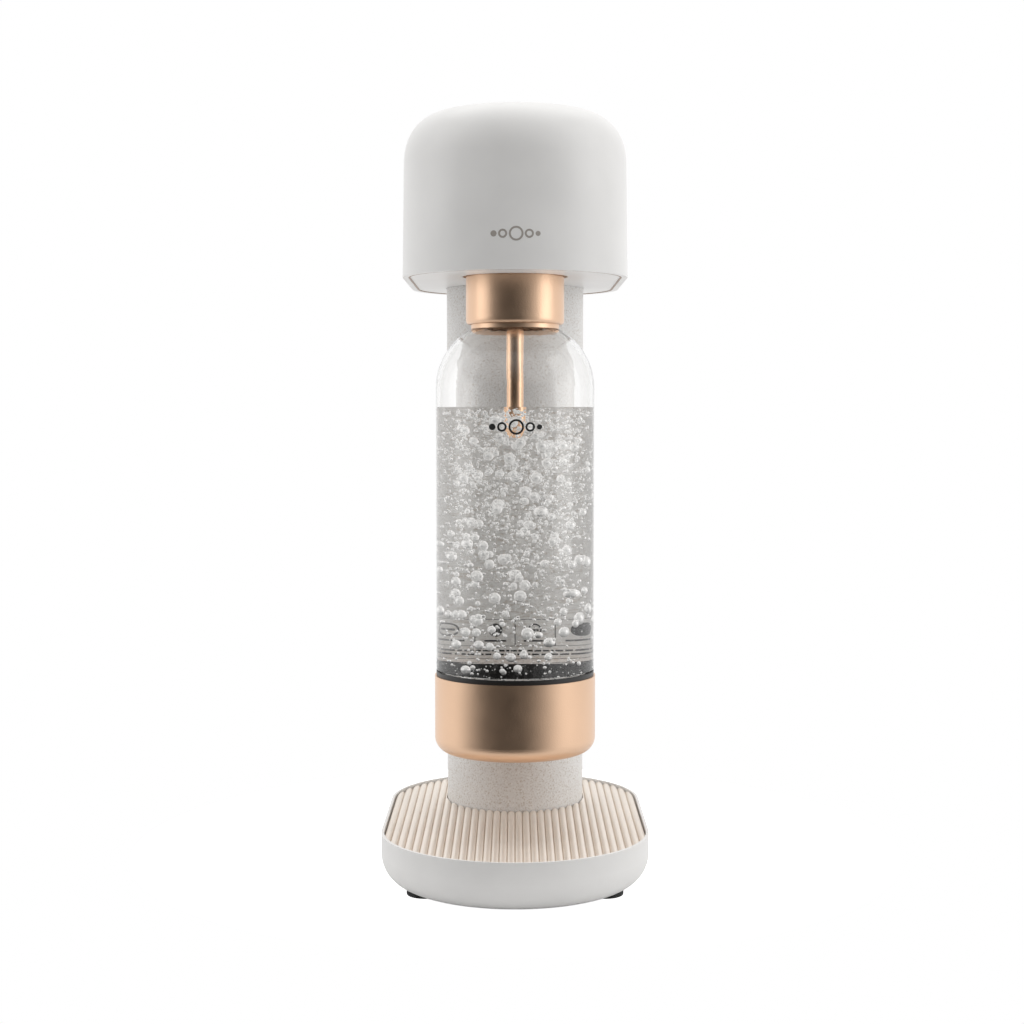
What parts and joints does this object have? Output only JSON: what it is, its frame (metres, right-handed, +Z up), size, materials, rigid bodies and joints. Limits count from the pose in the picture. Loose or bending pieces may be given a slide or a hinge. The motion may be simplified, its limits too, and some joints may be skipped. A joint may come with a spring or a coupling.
{
  "type": "soda carbonator",
  "caption": "Hand-worked water carbonator: slot-shaped base and domed head on a round pillar, clear bottle hung under a metal collar over a ribbed tray.",
  "frame": {"origin": "on the floor, under the middle of the base", "axes": "+Z up, front faces -Y, width along X"},
  "size_m": [0.142, 0.224, 0.408],
  "materials": {
    "white_plastic": "satin",
    "composite": "speckled satin",
    "tray_aluminium": "anodised satin",
    "copper": "fine-blasted anodised",
    "nozzle_copper": "satin",
    "trim": "satin",
    "rubber": "matte",
    "black_plastic": "matte",
    "steel": "satin",
    "lever_metal": "satin",
    "brass": "satin",
    "cylinder_paint": "satin",
    "tube": "satin",
    "clear": "clear"
  },
  "bodies": {
    "stand": {"ballast_plate": "steel", "ballast_screws": "steel", "base_screws": "steel", "base_shell": "white_plastic", "bottle_gasket": "rubber", "button_guide": "black_plastic", "button_spring": "steel", "chassis_plate": "steel", "chassis_screws": "steel", "collar": "copper", "cylinder_cradle": "black_plastic", "cylinder_pad": "rubber", "gas_tube": "tube", "head_screws": "steel", "head_shell": "white_plastic", "head_underplate": "white_plastic", "lever_bracket": "steel", "lever_pin": "steel", "nozzle_block": "black_plastic", "nozzle_screws": "steel", "nozzle_tip": "nozzle_copper", "nozzle_tube": "nozzle_copper", "pillar_shell": "composite", "pillar_top_screws": "steel", "plunger_spring": "steel", "rear_deck": "tray_aluminium", "relief_body": "brass", "relief_cap": "brass", "relief_spring": "steel", "rubber_feet": "rubber", "trim_band": "trim", "tube_fittings": "brass", "valve_block": "brass", "valve_seal": "rubber"},
    "lock_ring": {"lock_ring": "black_plastic"},
    "bottle": {"bottle_body": "clear", "neck_ring": "copper", "cup_liner": "black_plastic", "base_cup": "copper"},
    "tray": {"tray_plate": "tray_aluminium"},
    "cover": {"rear_cover": "composite"},
    "button": {"button_cap": "copper", "button_stem": "black_plastic"},
    "lever": {"lever": "lever_metal"},
    "plunger": {"plunger": "steel"},
    "pin": {"valve_pin": "steel"},
    "cylinder": {"co2_cylinder": "cylinder_paint", "cylinder_valve": "brass"},
    "poppet": {"relief_poppet": "brass"}
  },
  "joints": [
    {"name": "button_press", "type": "slide", "parent": "stand", "child": "button", "axis": [0, 0, -1], "range_m": [0, 0.005], "stiffness_N_per_m": 600, "springref_m": -0.002, "deforming": ["button_spring"]},
    {"name": "lever_swing", "type": "hinge", "parent": "stand", "child": "lever", "pos_m": [0, 0.078, 0.373], "axis": [1, 0, 0], "range_deg": [0, 4.2]},
    {"name": "plunger_press", "type": "slide", "parent": "stand", "child": "plunger", "axis": [0, 0, -1], "range_m": [0, 0.0023], "deforming": ["plunger_spring"]},
    {"name": "pin_press", "type": "slide", "parent": "cylinder", "child": "pin", "axis": [0, 0, -1], "range_m": [0, 0.0023]},
    {"name": "bottle_turn", "type": "hinge", "parent": "stand", "child": "lock_ring", "pos_m": [0, -0.042, 0.31], "axis": [0, 0, 1], "range_deg": [-60, 0]},
    {"name": "bottle_lower", "type": "slide", "parent": "lock_ring", "child": "bottle", "axis": [0, 0, 1], "range_m": [-0.042, 0]},
    {"name": "tray_lift", "type": "slide", "parent": "stand", "child": "tray", "axis": [0, 0, 1], "range_m": [0, 0.038]},
    {"name": "cover_off", "type": "slide", "parent": "stand", "child": "cover", "axis": [0, 1, 0], "range_m": [0, 0.06]},
    {"name": "cylinder_turn", "type": "hinge", "parent": "stand", "child": "cylinder", "pos_m": [0, 0.0475, 0.2], "axis": [0, 0, 1], "range_deg": [0, 360]},
    {"name": "relief_lift", "type": "slide", "parent": "stand", "child": "poppet", "axis": [0, 0, 1], "range_m": [0, 0.001], "stiffness_N_per_m": 900, "springref_m": -0.003, "deforming": ["relief_spring"]}
  ],
  "couplings": [
    {"joint": "lever_swing", "follows": "button_press", "rad_per_m": 14.184},
    {"joint": "plunger_press", "follows": "button_press", "ratio": 0.43262},
    {"joint": "pin_press", "follows": "button_press", "ratio": 0.43262}
  ]
}
